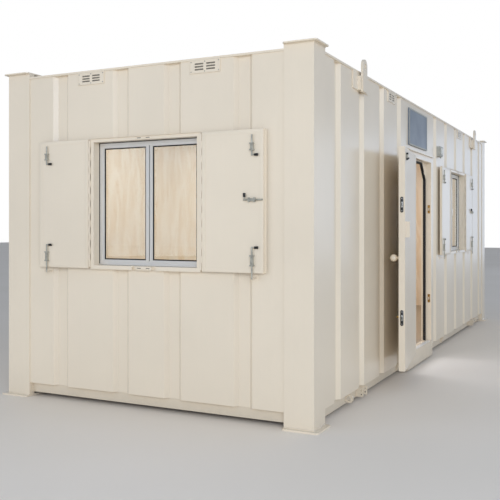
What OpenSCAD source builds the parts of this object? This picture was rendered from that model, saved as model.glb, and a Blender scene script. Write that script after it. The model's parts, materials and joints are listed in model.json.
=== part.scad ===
// Portable site cabin: a steel box cabin with pressed wall panels, four corner posts,
// one door and two shuttered windows. Millimetres, +Z up, +Y along the length.

/* [Cabin] */
// Width over the corner posts
cabin_w = 2743; // [2300:1:3400]
// Length over the corner posts
cabin_l = 7315; // [7000:1:9800]
// Height from the ground to the top of the head plates
cabin_h = 2700; // [2600:1:3200]
// How far the roof edge lies below the top of the head plates
roof_drop = 40; // [20:1:60]

/* [Corner posts] */
// Width of each post face
post_w = 225; // [150:1:300]
// Thickness of the folded post legs
post_t = 60; // [50:1:80]
// Thickness of the head plates
head_plate_t = 10; // [6:1:20]
// How far the head plates stand out past the posts
head_plate_out = 30; // [5:1:50]
// Thickness of the foot plates
foot_plate_t = 12; // [6:1:20]
// How far the foot plates stand out past the posts
foot_plate_out = 42; // [5:1:60]
// Corner cut of the head and foot plates
plate_corner = 12; // [4:1:20]

/* [Base and floor] */
// Clear height under the base rails
rail_clear = 35; // [20:1:80]
// Height of the base rails
rail_h = 80; // [70:1:120]
// Width of the base rails
rail_w = 50; // [40:1:80]
// How far the rails are set back from the post faces
rail_inset = 45; // [30:1:50]
// Steel thickness of the rails and joists
rail_steel = 5; // [3:1:8]
// Number of floor joists
joist_count = 11; // [6:1:16]
// Thickness of the insulated floor
floor_t = 60; // [40:1:90]

/* [Walls] */
// Thickness of the insulated steel wall panels
wall_t = 60; // [50:1:80]
// How far the wall faces lie behind the post faces
wall_recess = 8; // [2:1:15]
// Thickness of the inner lining boards
lining_t = 12; // [6:1:18]
// Distance between the pressed grooves
groove_pitch = 590; // [400:1:700]
// Width of a groove at the wall face
groove_w = 150; // [80:1:180]
// Depth of a groove
groove_d = 30; // [10:1:34]
// Distance from the middle of an end wall to its first groove
end_groove_x = 235; // [150:1:290]
// Distance from the middle of a side wall to its first groove
side_groove_y = 195; // [150:1:290]

/* [Roof] */
// Thickness of the insulated roof at its edge
roof_t = 70; // [50:1:120]
// Rise of the roof from the sides to the ridge
roof_rise = 25; // [10:1:60]
// Number of standing seams across the roof
seam_count = 11; // [4:1:16]
// Height of the seams
seam_h = 8; // [4:1:15]
// Width of the seams
seam_w = 40; // [20:1:60]
// Thickness of the ceiling boards
ceiling_t = 12; // [6:1:18]
// Height of the edge capping
capping_h = 15; // [8:1:20]
// Width of the edge capping
capping_w = 80; // [60:1:120]

/* [Door] */
// Middle of the doorway along the cabin, from the middle of the side
door_y = -640; // [-760:1:-540]
// Width of the doorway between the jambs
door_open_w = 985; // [900:1:1090]
// Height of the door leaf
leaf_h = 1920; // [1800:1:1980]
// Thickness of the door leaf
leaf_t = 52; // [40:1:60]
// Running gap round the leaf
leaf_gap = 5; // [4:1:8]
// Face width of the door frame
frame_w = 55; // [45:1:60]
// How far the frame stands out from the wall
frame_out = 35; // [25:1:50]
// How far the door stops reach into the doorway
stop_w = 22; // [15:1:30]
// Thickness of the stops
stop_t = 12; // [8:1:20]
// Size of the corner gussets at the head of the frame
gusset = 175; // [100:1:250]
// Width of the rubber seal
seal_w = 14; // [8:1:14]
// Thickness of the rubber seal
seal_t = 4; // [2:1:4]
// How far the door stands open
door_angle = 172; // [90:1:174]
// Radius of the door hinge knuckles
hinge_r = 7; // [5:1:8]
// Length of each door hinge
hinge_l = 120; // [90:1:160]
// Number of door hinges
hinge_count = 3; // [2:1:4]
// Radius of the hinge pins
pin_r = 3.5; // [2.5:0.5:4]
// Radius of the round door handle
knob_r = 32; // [22:1:38]
// Height of the door handle above the ground
knob_z = 1144; // [900:1:1250]
// Heights of the two locks above the ground
lock_z = [635, 1602];
// Height of the lock face plates
lock_h = 140; // [120:1:220]
// Width of the sign over the door
sign_w = 770; // [400:1:840]
// Height of the sign
sign_h = 365; // [200:1:380]
// Thickness of the sign
sign_t = 14; // [6:1:25]

/* [Windows] */
// Height of the bottom of the window boxes
win_z = 1080; // [950:1:1150]
// Height of the window boxes
win_h = 1030; // [800:1:1100]
// Width of the window boxes
win_w = 994; // [800:1:1060]
// Middle of the side window along the cabin
side_win_y = 1375; // [1320:1:1420]
// How far the window boxes stand out from the wall
box_out = 35; // [25:1:45]
// Side thickness of the window boxes
box_side = 30; // [25:1:60]
// Top and bottom thickness of the window boxes
box_top = 30; // [25:1:50]
// Face width of the aluminium window frames
alu_w = 38; // [25:1:50]
// Depth of the aluminium window frames
alu_d = 38; // [30:1:60]
// Width of the meeting stile of the sliding panes
mullion_w = 50; // [30:1:60]
// Thickness of the glass
glass_t = 6; // [4:1:10]

/* [Shutters] */
// Thickness of the folded shutter leaves
shutter_t = 25; // [18:1:30]
// Steel thickness of the shutter leaves
shutter_steel = 3; // [2:1:4]
// How far the shutters stand open
shutter_angle = 180; // [90:1:180]
// Radius of the shutter hinge knuckles
knuckle_r = 6; // [4:0.5:6.5]
// Number of knuckles in each shutter hinge
knuckle_count = 19; // [7:2:25]
// Distance of the upright bolts from the free edge
bolt_in = 84; // [60:1:120]
// Length of the bolts
bolt_l = 150; // [100:1:180]
// Radius of the bolt rods
bolt_r = 6; // [4:1:8]
// How far the bottom bolts reach below the leaves
bolt_drop = 42; // [20:1:50]

/* [Fittings] */
// Width of the wall vents
vent_w = 255; // [150:1:300]
// Height of the wall vents
vent_h = 98; // [70:1:120]
// Distance of the end wall vents from the middle
end_vent_x = 517; // [450:1:560]
// Distance of the side wall vents from the middle
side_vent_y = 1640; // [1560:1:1720]
// Distance of the lifting lugs from the middle
lug_y = 2595; // [2300:1:2700]
// Width of the lifting lugs
lug_w = 110; // [80:1:140]
// Thickness of the lifting lugs
lug_t = 20; // [12:1:25]
// Height of the lugs above the roof edge
lug_up = 98; // [70:1:140]
// Radius of the hole in each lug
lug_hole_r = 20; // [12:1:25]
// Distance of the tie-down eyes from the middle
eye_y = 2840; // [2700:1:2900]
// Outer radius of the tie-down eyes
eye_r = 34; // [25:1:38]
// Radius of the hole in each tie-down eye
eye_hole_r = 18; // [10:1:22]
// Distance of the paired base brackets from the middle
bracket_y = 2530; // [2400:1:2600]

/* [Hidden] */
$fn = 48;
eps = 0.5;
half_w = cabin_w/2;
half_l = cabin_l/2;

// Heights
wall_z0 = rail_clear + rail_h;
floor_z = wall_z0 + floor_t;
roof_edge_z = cabin_h - roof_drop;
wall_z1 = roof_edge_z - capping_h;
ceiling_z = wall_z1 - roof_t - ceiling_t;

// Clear width and length inside the wall panels, and inside the linings
face_x = half_w - wall_recess;
face_y = half_l - wall_recess;
shell_x = face_x - wall_t;
shell_y = face_y - wall_t;
room_x = shell_x - lining_t;
room_y = shell_y - lining_t;

// Doorway, along the side wall and upwards
door_y0 = door_y - door_open_w/2;
door_y1 = door_y + door_open_w/2;
leaf_w = door_open_w - 2*leaf_gap;
leaf_z0 = floor_z + leaf_gap;
leaf_z1 = leaf_z0 + leaf_h;
head_z = leaf_z1 + leaf_gap;
frame_top = head_z + frame_w;
frame_y0 = door_y0 - frame_w;
frame_y1 = door_y1 + frame_w;
seal_gap = 5;
stop_x = frame_out - leaf_t - seal_gap - seal_t;
hinge_x = frame_out + hinge_r + 1;
hinge_y = leaf_gap/2;
hinge_leaf = 34;
hinge_leaf_t = 2;
pin_play = 0.3;
hinge_end = 150;
free_x = leaf_gap + leaf_w;
leaf_face = -frame_out + leaf_t;
lock_w = 28;
lock_t = 3;
strike_w = 26;
strike_h = 90;
handle_in = 75;
door_bolt_x = free_x - 70;
door_bolt_z = leaf_z1 - 120;
door_bolt_h = 76;
door_bolt_w = 28;
bolt_play = 6;

// Windows and shutters, in a frame with X across the window and Y out of the wall
win_top = win_z + win_h;
half_win = win_w/2;
alu_in = 42;
notch_floor = 8;
shutter_gap = 5;
hinge_edge = 9;
hinge_half = half_win + 8;
shutter_in = box_out + shutter_gap;
shutter_axis = shutter_in + 2;
shutter_w = hinge_half - hinge_edge - shutter_gap/2;
shutter_z0 = win_z + 5;
shutter_h = win_h - 10;
strip_w = 12;
strip_t = 3;
rim_w = 28;
bolt_stand = 12;
bolt_w = 32;
low_bolt_l = bolt_l + 80;
keeper_x = 2*hinge_half - shutter_gap/2 - bolt_in;

cream = "#DDD6C6";
cream_dark = "#CFC8B8";
silver = "#B9BEBB";
timber = "#E6CFAC";

// Moves a shape from the middle of the plan to the datum, the centre of the front right foot
module from_datum() {
    translate([-(half_w - post_w/2), half_l - post_w/2, 0])
        children();
}

// Repeats a front-left shape at all four corners
module at_corners() {
    for (side = [0, 1], end = [0, 1])
        mirror([side, 0, 0])
            mirror([0, end, 0])
                children();
}

// Turns a side fitting drawn facing +X so that it is on both sides
module on_both_sides() {
    for (side = [0, 1])
        mirror([side, 0, 0])
            children();
}

// A square plate with cut corners, centred
module cut_plate(x, y, t) {
    linear_extrude(t)
        polygon([
            [-x/2 + plate_corner, -y/2], [x/2 - plate_corner, -y/2],
            [x/2, -y/2 + plate_corner], [x/2, y/2 - plate_corner],
            [x/2 - plate_corner, y/2], [-x/2 + plate_corner, y/2],
            [-x/2, y/2 - plate_corner], [-x/2, -y/2 + plate_corner],
        ]);
}

// ---- Base and floor ----

// Channel of the base frame, open towards +Y, running along X
module channel(length) {
    difference() {
        translate([-length/2, 0, rail_clear])
            cube([length, rail_w, rail_h]);
        translate([-length/2 - 1, rail_steel, rail_clear + rail_steel])
            cube([length + 2, rail_w, rail_h - 2*rail_steel]);
    }
}

module base_rails() {
    color(cream_dark) {
        for (end = [0, 1])
            mirror([0, end, 0])
                translate([0, -half_l + rail_inset, 0])
                    channel(cabin_w - 2*post_w);
        for (side = [-1, 1])
            rotate([0, 0, side*90])
                translate([0, -half_w + rail_inset, 0])
                    channel(cabin_l - 2*post_w);
    }
}

module floor_joists() {
    span = cabin_l - 2*post_w - 2*rail_w;
    length = cabin_w - 2*(rail_inset + rail_w);
    color(cream_dark)
        for (i = [0 : joist_count - 1])
            translate([-length/2, -span/2 + i*(span - rail_w)/(joist_count - 1), 0])
                difference() {
                    translate([0, 0, rail_clear])
                        cube([length, rail_w, rail_h]);
                    translate([-1, rail_steel, rail_clear + rail_steel])
                        cube([length + 2, rail_w, rail_h - 2*rail_steel]);
                }
}

module floor_deck() {
    color(timber)
        translate([-shell_x, -shell_y, wall_z0])
            difference() {
                cube([2*shell_x, 2*shell_y, floor_t]);
                deck_corner_notches();
            }
}

// Room for the inner edges of the posts
module deck_corner_notches() {
    notch = post_t - wall_recess - wall_t;
    if (notch > 0)
        for (x = [0, 2*shell_x - notch], y = [0, 2*shell_y - notch])
            translate([x, y, -1])
                cube([notch, notch, floor_t + 2]);
}

// ---- Corner posts ----

module corner_posts() {
    h = cabin_h - head_plate_t - foot_plate_t;
    color(cream)
        at_corners()
            translate([-half_w, -half_l, foot_plate_t])
                difference() {
                    cube([post_w, post_w, h]);
                    translate([post_t, post_t, -1])
                        cube([post_w, post_w, h + 2]);
                }
}

module post_plates() {
    head = post_w + head_plate_out;
    foot = post_w + foot_plate_out;
    color(cream)
        at_corners() {
            translate([-half_w - head_plate_out + head/2, -half_l - head_plate_out + head/2,
                       cabin_h - head_plate_t])
                cut_plate(head, head, head_plate_t);
            translate([-half_w - foot_plate_out + foot/2, -half_l - foot_plate_out + foot/2, 0])
                cut_plate(foot, foot, foot_plate_t);
        }
}

// ---- Walls ----

// One pressed groove, centred on x = 0 in a wall face at y = 0 with the outside at -Y
module groove(z0, z1) {
    translate([0, 0, z0])
        linear_extrude(z1 - z0)
            polygon([
                [-groove_w/2 - 1, -1], [groove_w/2 + 1, -1],
                [groove_w/2 - groove_d, groove_d], [-groove_w/2 + groove_d, groove_d],
            ]);
}

// A wall panel from x0 to x1 and z0 to z1, outside at -Y, with grooves at the places given
module wall_panel(x0, x1, z0, z1, grooves) {
    difference() {
        translate([x0, 0, z0])
            cube([x1 - x0, wall_t, z1 - z0]);
        for (g = grooves)
            if (g - groove_w/2 > x0 && g + groove_w/2 < x1)
                translate([g, 0, 0])
                    groove(z0 - 1, z1 + 1);
    }
}

// Groove places in an end wall and in a side wall, measured from the middle
function end_grooves() = [
    for (s = [-1, 1], k = [0 : floor((half_w - post_w - end_groove_x - groove_w/2)/groove_pitch)])
        s*(end_groove_x + k*groove_pitch)
];
function side_grooves() = [
    for (s = [-1, 1], k = [0 : floor((half_l - post_w - side_groove_y - groove_w/2)/groove_pitch)])
        s*(side_groove_y + k*groove_pitch)
];

end_x = half_w - post_w;
side_y = half_l - post_w;

module on_front() {
    translate([0, -face_y, 0])
        children();
}

// Local +X runs along +Y of the cabin, and local -Y points out of the right side
module on_right() {
    translate([face_x, 0, 0])
        rotate([0, 0, 90])
            children();
}

module front_wall_sides() {
    color(cream)
        on_front() {
            wall_panel(-end_x, -half_win, wall_z0, wall_z1, end_grooves());
            wall_panel(half_win, end_x, wall_z0, wall_z1, end_grooves());
        }
}

// Grooves are cut short at the window, so the bay's panels above and below have their own
module front_wall_window_bay() {
    color(cream)
        on_front() {
            wall_panel(-half_win, half_win, wall_z0, win_z, end_grooves());
            wall_panel(-half_win, half_win, win_top, wall_z1, end_grooves());
        }
}

module right_wall_front() {
    color(cream)
        on_right()
            wall_panel(-side_y, frame_y0, wall_z0, wall_z1, side_grooves());
}

module right_wall_over_door() {
    color(cream)
        on_right()
            wall_panel(frame_y0, frame_y1, frame_top, wall_z1, []);
}

module right_wall_middle() {
    color(cream)
        on_right()
            wall_panel(frame_y1, side_win_y - half_win, wall_z0, wall_z1, side_grooves());
}

module right_wall_window_bay() {
    color(cream)
        on_right() {
            wall_panel(side_win_y - half_win, side_win_y + half_win, wall_z0, win_z,
                       side_grooves());
            wall_panel(side_win_y - half_win, side_win_y + half_win, win_top, wall_z1,
                       side_grooves());
        }
}

module right_wall_rear() {
    color(cream)
        on_right()
            wall_panel(side_win_y + half_win, side_y, wall_z0, wall_z1, side_grooves());
}

module left_wall() {
    color(cream)
        mirror([1, 0, 0])
            on_right()
                wall_panel(-side_y, side_y, wall_z0, wall_z1, side_grooves());
}

module rear_wall() {
    color(cream)
        mirror([0, 1, 0])
            on_front()
                wall_panel(-end_x, end_x, wall_z0, wall_z1, end_grooves());
}

// ---- Lining, ceiling and roof ----

module wall_lining() {
    h = ceiling_z - floor_z;
    color(timber)
        difference() {
            translate([-shell_x, -shell_y, floor_z])
                cube([2*shell_x, 2*shell_y, h]);
            translate([-room_x, -room_y, floor_z - 1])
                cube([2*room_x, 2*room_y, h + 2]);
            translate([-half_win, -shell_y - 1, win_z])
                cube([win_w, lining_t + 2, win_h]);
            translate([room_x - 1, side_win_y - half_win, win_z])
                cube([lining_t + 2, win_w, win_h]);
            translate([room_x - 1, frame_y0, floor_z - 1])
                cube([lining_t + 2, frame_y1 - frame_y0, frame_top - floor_z + 1]);
        }
}

module ceiling() {
    color("white")
        translate([-shell_x, -shell_y, ceiling_z])
            cube([2*shell_x, 2*shell_y, ceiling_t]);
}

// Outline of the low ridged roof, raised by the seam height where asked
module roof_outline(up, half) {
    z0 = wall_z1 - roof_t;
    polygon([[-half, z0], [half, z0], [half, wall_z1 + up], [0, wall_z1 + roof_rise + up],
             [-half, wall_z1 + up]]);
}

module roof_panel() {
    span = 2*(shell_y - capping_w);
    color(cream)
        rotate([90, 0, 0]) {
            translate([0, 0, -shell_y])
                linear_extrude(2*shell_y)
                    roof_outline(0, shell_x);
            for (i = [0 : seam_count - 1])
                translate([0, 0, -span/2 + i*(span - seam_w)/(seam_count - 1)])
                    linear_extrude(seam_w)
                        roof_outline(seam_h, shell_x - capping_w);
        }
}

module roof_edge_trim() {
    color(cream) {
        for (end = [0, 1])
            mirror([0, end, 0])
                translate([-end_x, -half_l, wall_z1])
                    cube([2*end_x, wall_recess + wall_t, capping_h]);
        for (side = [0, 1])
            mirror([side, 0, 0])
                translate([half_w - wall_recess - wall_t, -side_y, wall_z1])
                    cube([wall_recess + wall_t, 2*side_y, capping_h]);
    }
}

// ---- Door: local X along the wall from the hinge jamb, local -Y out of the wall ----

module at_door() {
    on_right()
        translate([door_y0, 0, 0])
            children();
}

// Doorway outline inside the stops, with the two head corners cut by the gussets
module doorway_outline(in) {
    w = door_open_w - 2*in;
    h = head_z - in - floor_z;
    g = gusset - in*0.6;
    translate([in, floor_z])
        polygon([[0, 0], [w, 0], [w, h - g], [w - g, h], [g, h], [0, h - g]]);
}

// A hinge knuckle with its plate; side is the way the plate runs along X
module knuckle(z0, h, side) {
    translate([hinge_y, -hinge_x, z0]) {
        cylinder(r = hinge_r, h = h);
        translate([side > 0 ? 0 : -hinge_leaf, hinge_r - hinge_leaf_t, 0])
            cube([hinge_leaf, hinge_leaf_t + 1, h]);
    }
}

// Bottoms of the door hinges
function hinge_zs() = [
    for (i = [0 : hinge_count - 1])
        leaf_z0 + hinge_end + i*(leaf_h - 2*hinge_end - hinge_l)/(hinge_count - 1)
];

// The two lock keeps, let into the far jamb opposite the locks of the shut leaf
module at_strikes() {
    for (z = lock_z)
        translate([door_open_w, leaf_face - leaf_t/2 - strike_w/2, z - strike_h/2])
            children();
}

// Room in the stops and the seal for the bolt on the shut leaf
module bolt_notch() {
    translate([door_bolt_x - door_bolt_w/2 - bolt_play, leaf_face, door_bolt_z - bolt_play])
        cube([door_bolt_w + 2*bolt_play, wall_t, door_bolt_h + 2*bolt_play]);
}

module door_frame() {
    third = hinge_l/3;
    reach = frame_out + wall_t + lining_t;
    color(cream)
        at_door() {
            difference() {
                translate([-frame_w, -frame_out, wall_z0])
                    cube([door_open_w + 2*frame_w, reach, frame_top - wall_z0]);
                translate([0, -frame_out - 1, wall_z0 - 1])
                    cube([door_open_w, reach + 2, head_z - wall_z0 + 1]);
                translate([-frame_w - 1, wall_t, wall_z0 - 1])
                    cube([door_open_w + 2*frame_w + 2, lining_t + 1, floor_t + 1]);
                at_strikes()
                    translate([-1, 0, 0])
                        cube([lock_t + 1, strike_w, strike_h]);
            }
            difference() {
                translate([0, -stop_x + stop_t, floor_z])
                    rotate([90, 0, 0])
                        linear_extrude(stop_t)
                            square([door_open_w, head_z - floor_z]);
                translate([0, -stop_x + stop_t + 1, 0])
                    rotate([90, 0, 0])
                        linear_extrude(stop_t + 2)
                            doorway_outline(stop_w);
                translate([stop_w, -stop_x - 1, floor_z - 1])
                    cube([door_open_w - 2*stop_w, stop_t + 2, 2]);
                bolt_notch();
            }
            for (z = hinge_zs()) {
                knuckle(z, third - eps, -1);
                knuckle(z + 2*third + eps, third - eps, -1);
                translate([hinge_y, -hinge_x, z])
                    cylinder(r = pin_r, h = hinge_l);
            }
        }
}

module door_seal() {
    color("#1A1A1A")
        at_door()
            translate([0, -stop_x, 0])
                rotate([90, 0, 0])
                    linear_extrude(seal_t)
                        difference() {
                            doorway_outline(stop_w - seal_w);
                            doorway_outline(stop_w);
                            translate([0, floor_z - 1])
                                square([door_open_w, 2]);
                            translate([door_bolt_x - door_bolt_w/2 - bolt_play,
                                       door_bolt_z - bolt_play])
                                square([door_bolt_w + 2*bolt_play,
                                        door_bolt_h + 2*bolt_play]);
                        }
}

// A threshold between the jambs, and the deep plate that hangs over the base rail
module door_sill() {
    apron_z0 = 20;
    color(cream_dark)
        at_door() {
            translate([0, -frame_out, wall_z0])
                cube([door_open_w, frame_out + wall_t, floor_t]);
            translate([-frame_w, -frame_out, apron_z0])
                cube([door_open_w + 2*frame_w, frame_out + rail_inset - wall_recess,
                      wall_z0 - apron_z0]);
        }
}

module door_strikes() {
    slot_w = 12;
    slot_h = 30;
    color("#B08D57")
        at_door()
            at_strikes()
                difference() {
                    cube([lock_t, strike_w, strike_h]);
                    translate([-1, (strike_w - slot_w)/2, (strike_h - slot_h)/2])
                        cube([lock_t + 2, slot_w, slot_h]);
                }
}

// A rain strip over the door head
module door_drip_strip() {
    past = 10;
    stand = 25;
    t = 12;
    color(cream)
        at_door()
            translate([-frame_w - past, -frame_out - stand, frame_top])
                cube([door_open_w + 2*(frame_w + past), frame_out + stand, t]);
}

module door_sign() {
    sign_up = 65;
    color("#8FA3B8")
        at_door()
            translate([(door_open_w - sign_w)/2, -sign_t, frame_top + sign_up])
                cube([sign_w, sign_t, sign_h]);
}

// A small lamp housing with a raised cover, between the door and the side window
module light_box() {
    w = 140;
    h = 112;
    out = 42;
    rim = 18;
    cover_out = 6;
    before_window = 1085;
    color("#C9C9C4")
        on_right()
            translate([side_win_y - before_window, -out, frame_top + frame_w]) {
                cube([w, out, h]);
                translate([rim, -cover_out, rim])
                    cube([w - 2*rim, cover_out + 1, h - 2*rim]);
            }
}

// Carries a piece of the door from its closed place to its open one
module door_swing() {
    at_door()
        translate([hinge_y, -hinge_x, 0])
            rotate([0, 0, -door_angle])
                translate([-hinge_y, hinge_x, 0])
                    children();
}

module door_leaf() {
    third = hinge_l/3;
    color(cream)
        door_swing()
            difference() {
                union() {
                    translate([leaf_gap, -frame_out, leaf_z0])
                        cube([leaf_w, leaf_t, leaf_h]);
                    for (z = hinge_zs())
                        knuckle(z + third + eps, third - 2*eps, 1);
                }
                at_locks()
                    cube([lock_t + 1, lock_w, lock_h]);
                for (z = hinge_zs())
                    translate([hinge_y, -hinge_x, z])
                        cylinder(r = pin_r + pin_play, h = hinge_l);
            }
}

// The two lock face plates, let into the free edge of the leaf
module at_locks() {
    for (z = lock_z)
        translate([free_x - lock_t, leaf_face - leaf_t/2 - lock_w/2, z - lock_h/2])
            children();
}

module door_locks() {
    rose_r = 16;
    rose_t = 8;
    color("#2B2B2B")
        door_swing() {
            at_locks()
                cube([lock_t, lock_w, lock_h]);
            translate([free_x - handle_in, -frame_out, lock_z[0]])
                rotate([90, 0, 0])
                    cylinder(r = rose_r, h = rose_t);
        }
}

// The round knob outside and the pull block inside
module door_handles() {
    rose_r = 26;
    rose_t = 6;
    neck_r = 12;
    knob_out = 50;
    pull_w = 60;
    pull_t = 38;
    pull_h = 136;
    pull_up = 178;
    color(cream)
        door_swing() {
            translate([free_x - handle_in, -frame_out, knob_z])
                rotate([90, 0, 0]) {
                    cylinder(r = rose_r, h = rose_t);
                    cylinder(r = neck_r, h = knob_out);
                    translate([0, 0, knob_out])
                        sphere(r = knob_r);
                }
            translate([door_open_w - stop_w - 2*seal_gap - pull_w, leaf_face, knob_z + pull_up])
                cube([pull_w, pull_t, pull_h]);
        }
}

// A slide bolt inside the leaf, at the top of its free edge
module door_bolt() {
    plate_t = 4;
    rod_r = 8;
    rod_l = 66;
    grip_r = 5;
    grip_l = 22;
    color("#2B2B2B")
        door_swing()
            translate([door_bolt_x, leaf_face, door_bolt_z]) {
                translate([-door_bolt_w/2, 0, 0])
                    cube([door_bolt_w, plate_t, door_bolt_h]);
                translate([0, plate_t + rod_r - 1, (door_bolt_h - rod_l)/2])
                    cylinder(r = rod_r, h = rod_l);
                translate([0, plate_t, door_bolt_h*0.28])
                    rotate([-90, 0, 0])
                        cylinder(r = grip_r, h = grip_l);
            }
}

// ---- Windows: local X across, local -Y out of the wall, centred on the window ----

module at_front_window() {
    on_front()
        children();
}

module at_side_window() {
    on_right()
        translate([side_win_y, 0, 0])
            children();
}

// Places on the leaf of the bottom bolts when the shutters are shut
notch_x = hinge_half - (keeper_x - hinge_half);

module window_box() {
    depth = box_out + wall_t + lining_t;
    notch_w = bolt_w + 2*bolt_play;
    color(cream) {
        difference() {
            translate([-half_win, -box_out, win_z])
                cube([win_w, depth, win_h]);
            translate([-half_win + box_side, -box_out - 1, win_z + box_top])
                cube([win_w - 2*box_side, depth + 2, win_h - 2*box_top]);
            for (s = [-1, 1])
                translate([s*notch_x - notch_w/2, -box_out - 1, win_z - 1])
                    cube([notch_w, box_out - notch_floor, box_top + 2]);
        }
        for (s = [-1, 1])
            mirror([s > 0 ? 1 : 0, 0, 0])
                shutter_hinge(0, 1);
    }
}

// Knuckles of a continuous hinge at the left edge: every other one, from the first given.
// way is 1 for the plate on the box and -1 for the plate on the leaf.
module shutter_hinge(first, way) {
    pitch = (shutter_h - 20)/knuckle_count;
    for (i = [first : 2 : knuckle_count - 1])
        translate([-hinge_half, -shutter_axis, shutter_z0 + 10 + i*pitch + eps/2])
            union() {
                cylinder(r = knuckle_r, h = pitch - eps, $fn = 16);
                translate([0, way > 0 ? shutter_axis - box_out - 1.5 : 0.5, 0])
                    cube([30, 1.5, pitch - eps]);
            }
}

module window_frame() {
    half = half_win - box_side;
    z0 = win_z + box_top;
    h = win_h - 2*box_top;
    pane_h = h - 2*alu_w;
    color(silver)
        difference() {
            translate([-half, alu_in, z0])
                cube([2*half, alu_d, h]);
            for (x = [-half + alu_w, mullion_w/2])
                translate([x, alu_in - 1, z0 + alu_w])
                    cube([half - alu_w - mullion_w/2, alu_d + 2, pane_h]);
        }
}

module window_glass() {
    half = half_win - box_side;
    z0 = win_z + box_top + alu_w;
    pane_h = win_h - 2*box_top - 2*alu_w;
    color([0.7, 0.8, 0.8, 0.35])
        for (x = [-half + alu_w, mullion_w/2])
            translate([x, alu_in + (alu_d - glass_t)/2, z0])
                cube([half - alu_w - mullion_w/2, glass_t, pane_h]);
}

module front_window_box() { at_front_window() window_box(); }
module front_window_frame() { at_front_window() window_frame(); }
module front_window_glass() { at_front_window() window_glass(); }
module side_window_box() { at_side_window() window_box(); }
module side_window_frame() { at_side_window() window_frame(); }
module side_window_glass() { at_side_window() window_glass(); }

// ---- Shutters, drawn shut as the left leaf and swung open about their hinges ----

module shutter_swing() {
    translate([-hinge_half, -shutter_axis, 0])
        rotate([0, 0, -shutter_angle])
            translate([hinge_half, shutter_axis, 0])
                children();
}

// A folded tray with its rim turned inwards; the cover strip is only on the leaf shut last
module shutter(cover_strip) {
    x0 = -hinge_half + hinge_edge;
    back_t = 4;
    strip_root = 12;
    strip_stand = 5;
    color(cream)
        shutter_swing() {
            difference() {
                translate([x0, -shutter_in - shutter_t, shutter_z0])
                    cube([shutter_w, shutter_t, shutter_h]);
                translate([x0 + rim_w, -shutter_in - shutter_t + shutter_steel,
                           shutter_z0 + rim_w])
                    cube([shutter_w - 2*rim_w, shutter_t - shutter_steel - back_t,
                          shutter_h - 2*rim_w]);
            }
            shutter_hinge(1, -1);
            if (cover_strip)
                translate([x0 + shutter_w - strip_root,
                           -shutter_in - shutter_t - strip_stand - strip_t, shutter_z0]) {
                    cube([strip_w + strip_root, strip_t, shutter_h]);
                    cube([strip_root, strip_stand + strip_t, shutter_h]);
                }
        }
}

// An upright slide bolt at the place x, with its rod's end at z; dir is the way it shoots
// and hand the side that its handle turns to
module slide_bolt(x, z, dir, length, hand) {
    strap_t = 10;
    cap = 3;
    grip_l = 40;
    low = length*0.42;
    high = length*0.72;
    translate([x, -shutter_in + bolt_stand, z])
        mirror([0, 0, dir > 0 ? 1 : 0]) {
            cylinder(r = bolt_r, h = length, $fn = 24);
            for (h = [low, high])
                translate([-bolt_w/2, -bolt_stand, h - strap_t/2])
                    cube([bolt_w, bolt_stand + bolt_r + cap, strap_t]);
            translate([-bolt_w/3, -bolt_stand, low])
                cube([bolt_w*2/3, bolt_stand + bolt_r, high - low]);
            translate([0, 0, length - bolt_r])
                rotate([0, -90*hand, 0])
                    cylinder(r = bolt_r*0.8, h = grip_l, $fn = 24);
        }
}

module shutter_bolts(with_cross_bolt) {
    x = -hinge_half + hinge_edge + shutter_w - bolt_in;
    top_in = 38;
    hand = with_cross_bolt ? -1 : 1;
    color("#8C8A80")
        shutter_swing() {
            slide_bolt(x, shutter_z0 + shutter_h - top_in, 1, bolt_l, hand);
            slide_bolt(x, shutter_z0 - bolt_drop, -1, low_bolt_l, hand);
            if (with_cross_bolt)
                translate([x + bolt_in, 0, shutter_z0 + shutter_h*0.51])
                    rotate([0, -90, 0])
                        slide_bolt(0, 0, -1, bolt_l, hand);
        }
}

module front_left_shutter() { at_front_window() shutter(false); }
module front_left_bolts() { at_front_window() shutter_bolts(false); }
module front_right_shutter() { at_front_window() mirror([1, 0, 0]) shutter(true); }
module front_right_bolts() { at_front_window() mirror([1, 0, 0]) shutter_bolts(true); }
module side_near_shutter() { at_side_window() shutter(false); }
module side_near_bolts() { at_side_window() shutter_bolts(false); }
module side_far_shutter() { at_side_window() mirror([1, 0, 0]) shutter(true); }
module side_far_bolts() { at_side_window() mirror([1, 0, 0]) shutter_bolts(true); }

// Forked catches on the wall that hold the bottom bolts of the open shutters
module shutter_keeper() {
    out = 2*shutter_axis - shutter_in + bolt_stand;
    slot = bolt_r + 5;
    lip = 8;
    fork_t = 4;
    plate_w = 52;
    plate_h = 44;
    plate_t = 3;
    tip = 14;
    translate([0, 0, shutter_z0 - bolt_drop + lip]) {
        translate([-plate_w/2, -plate_t, -plate_h/2])
            cube([plate_w, plate_t, plate_h]);
        difference() {
            translate([-slot - lip, -out - tip, 0])
                cube([2*(slot + lip), out + tip, fork_t]);
            translate([-slot, -out - tip - 1, -1])
                cube([2*slot, tip + 1 + slot, fork_t + 2]);
        }
    }
}

module shutter_keepers() {
    color(cream_dark) {
        for (s = [-1, 1])
            at_front_window()
                translate([s*keeper_x, 0, 0])
                    shutter_keeper();
        for (s = [-1, 1])
            at_side_window()
                translate([s*keeper_x, 0, 0])
                    shutter_keeper();
    }
}

// ---- Fittings ----

// A flanged vent plate with two groups of three slots
module vent() {
    slot_w = vent_w*0.29;
    slot_h = vent_h*0.11;
    plate_t = 6;
    translate([0, -plate_t, wall_z1 - vent_h])
        difference() {
            translate([-vent_w/2, 0, 0])
                cube([vent_w, plate_t, vent_h]);
            for (s = [-1, 1], k = [-1 : 1])
                translate([s*vent_w*0.19 - slot_w/2, -1, vent_h/2 + k*vent_h*0.21 - slot_h/2])
                    cube([slot_w, plate_t, slot_h]);
        }
}

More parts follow.
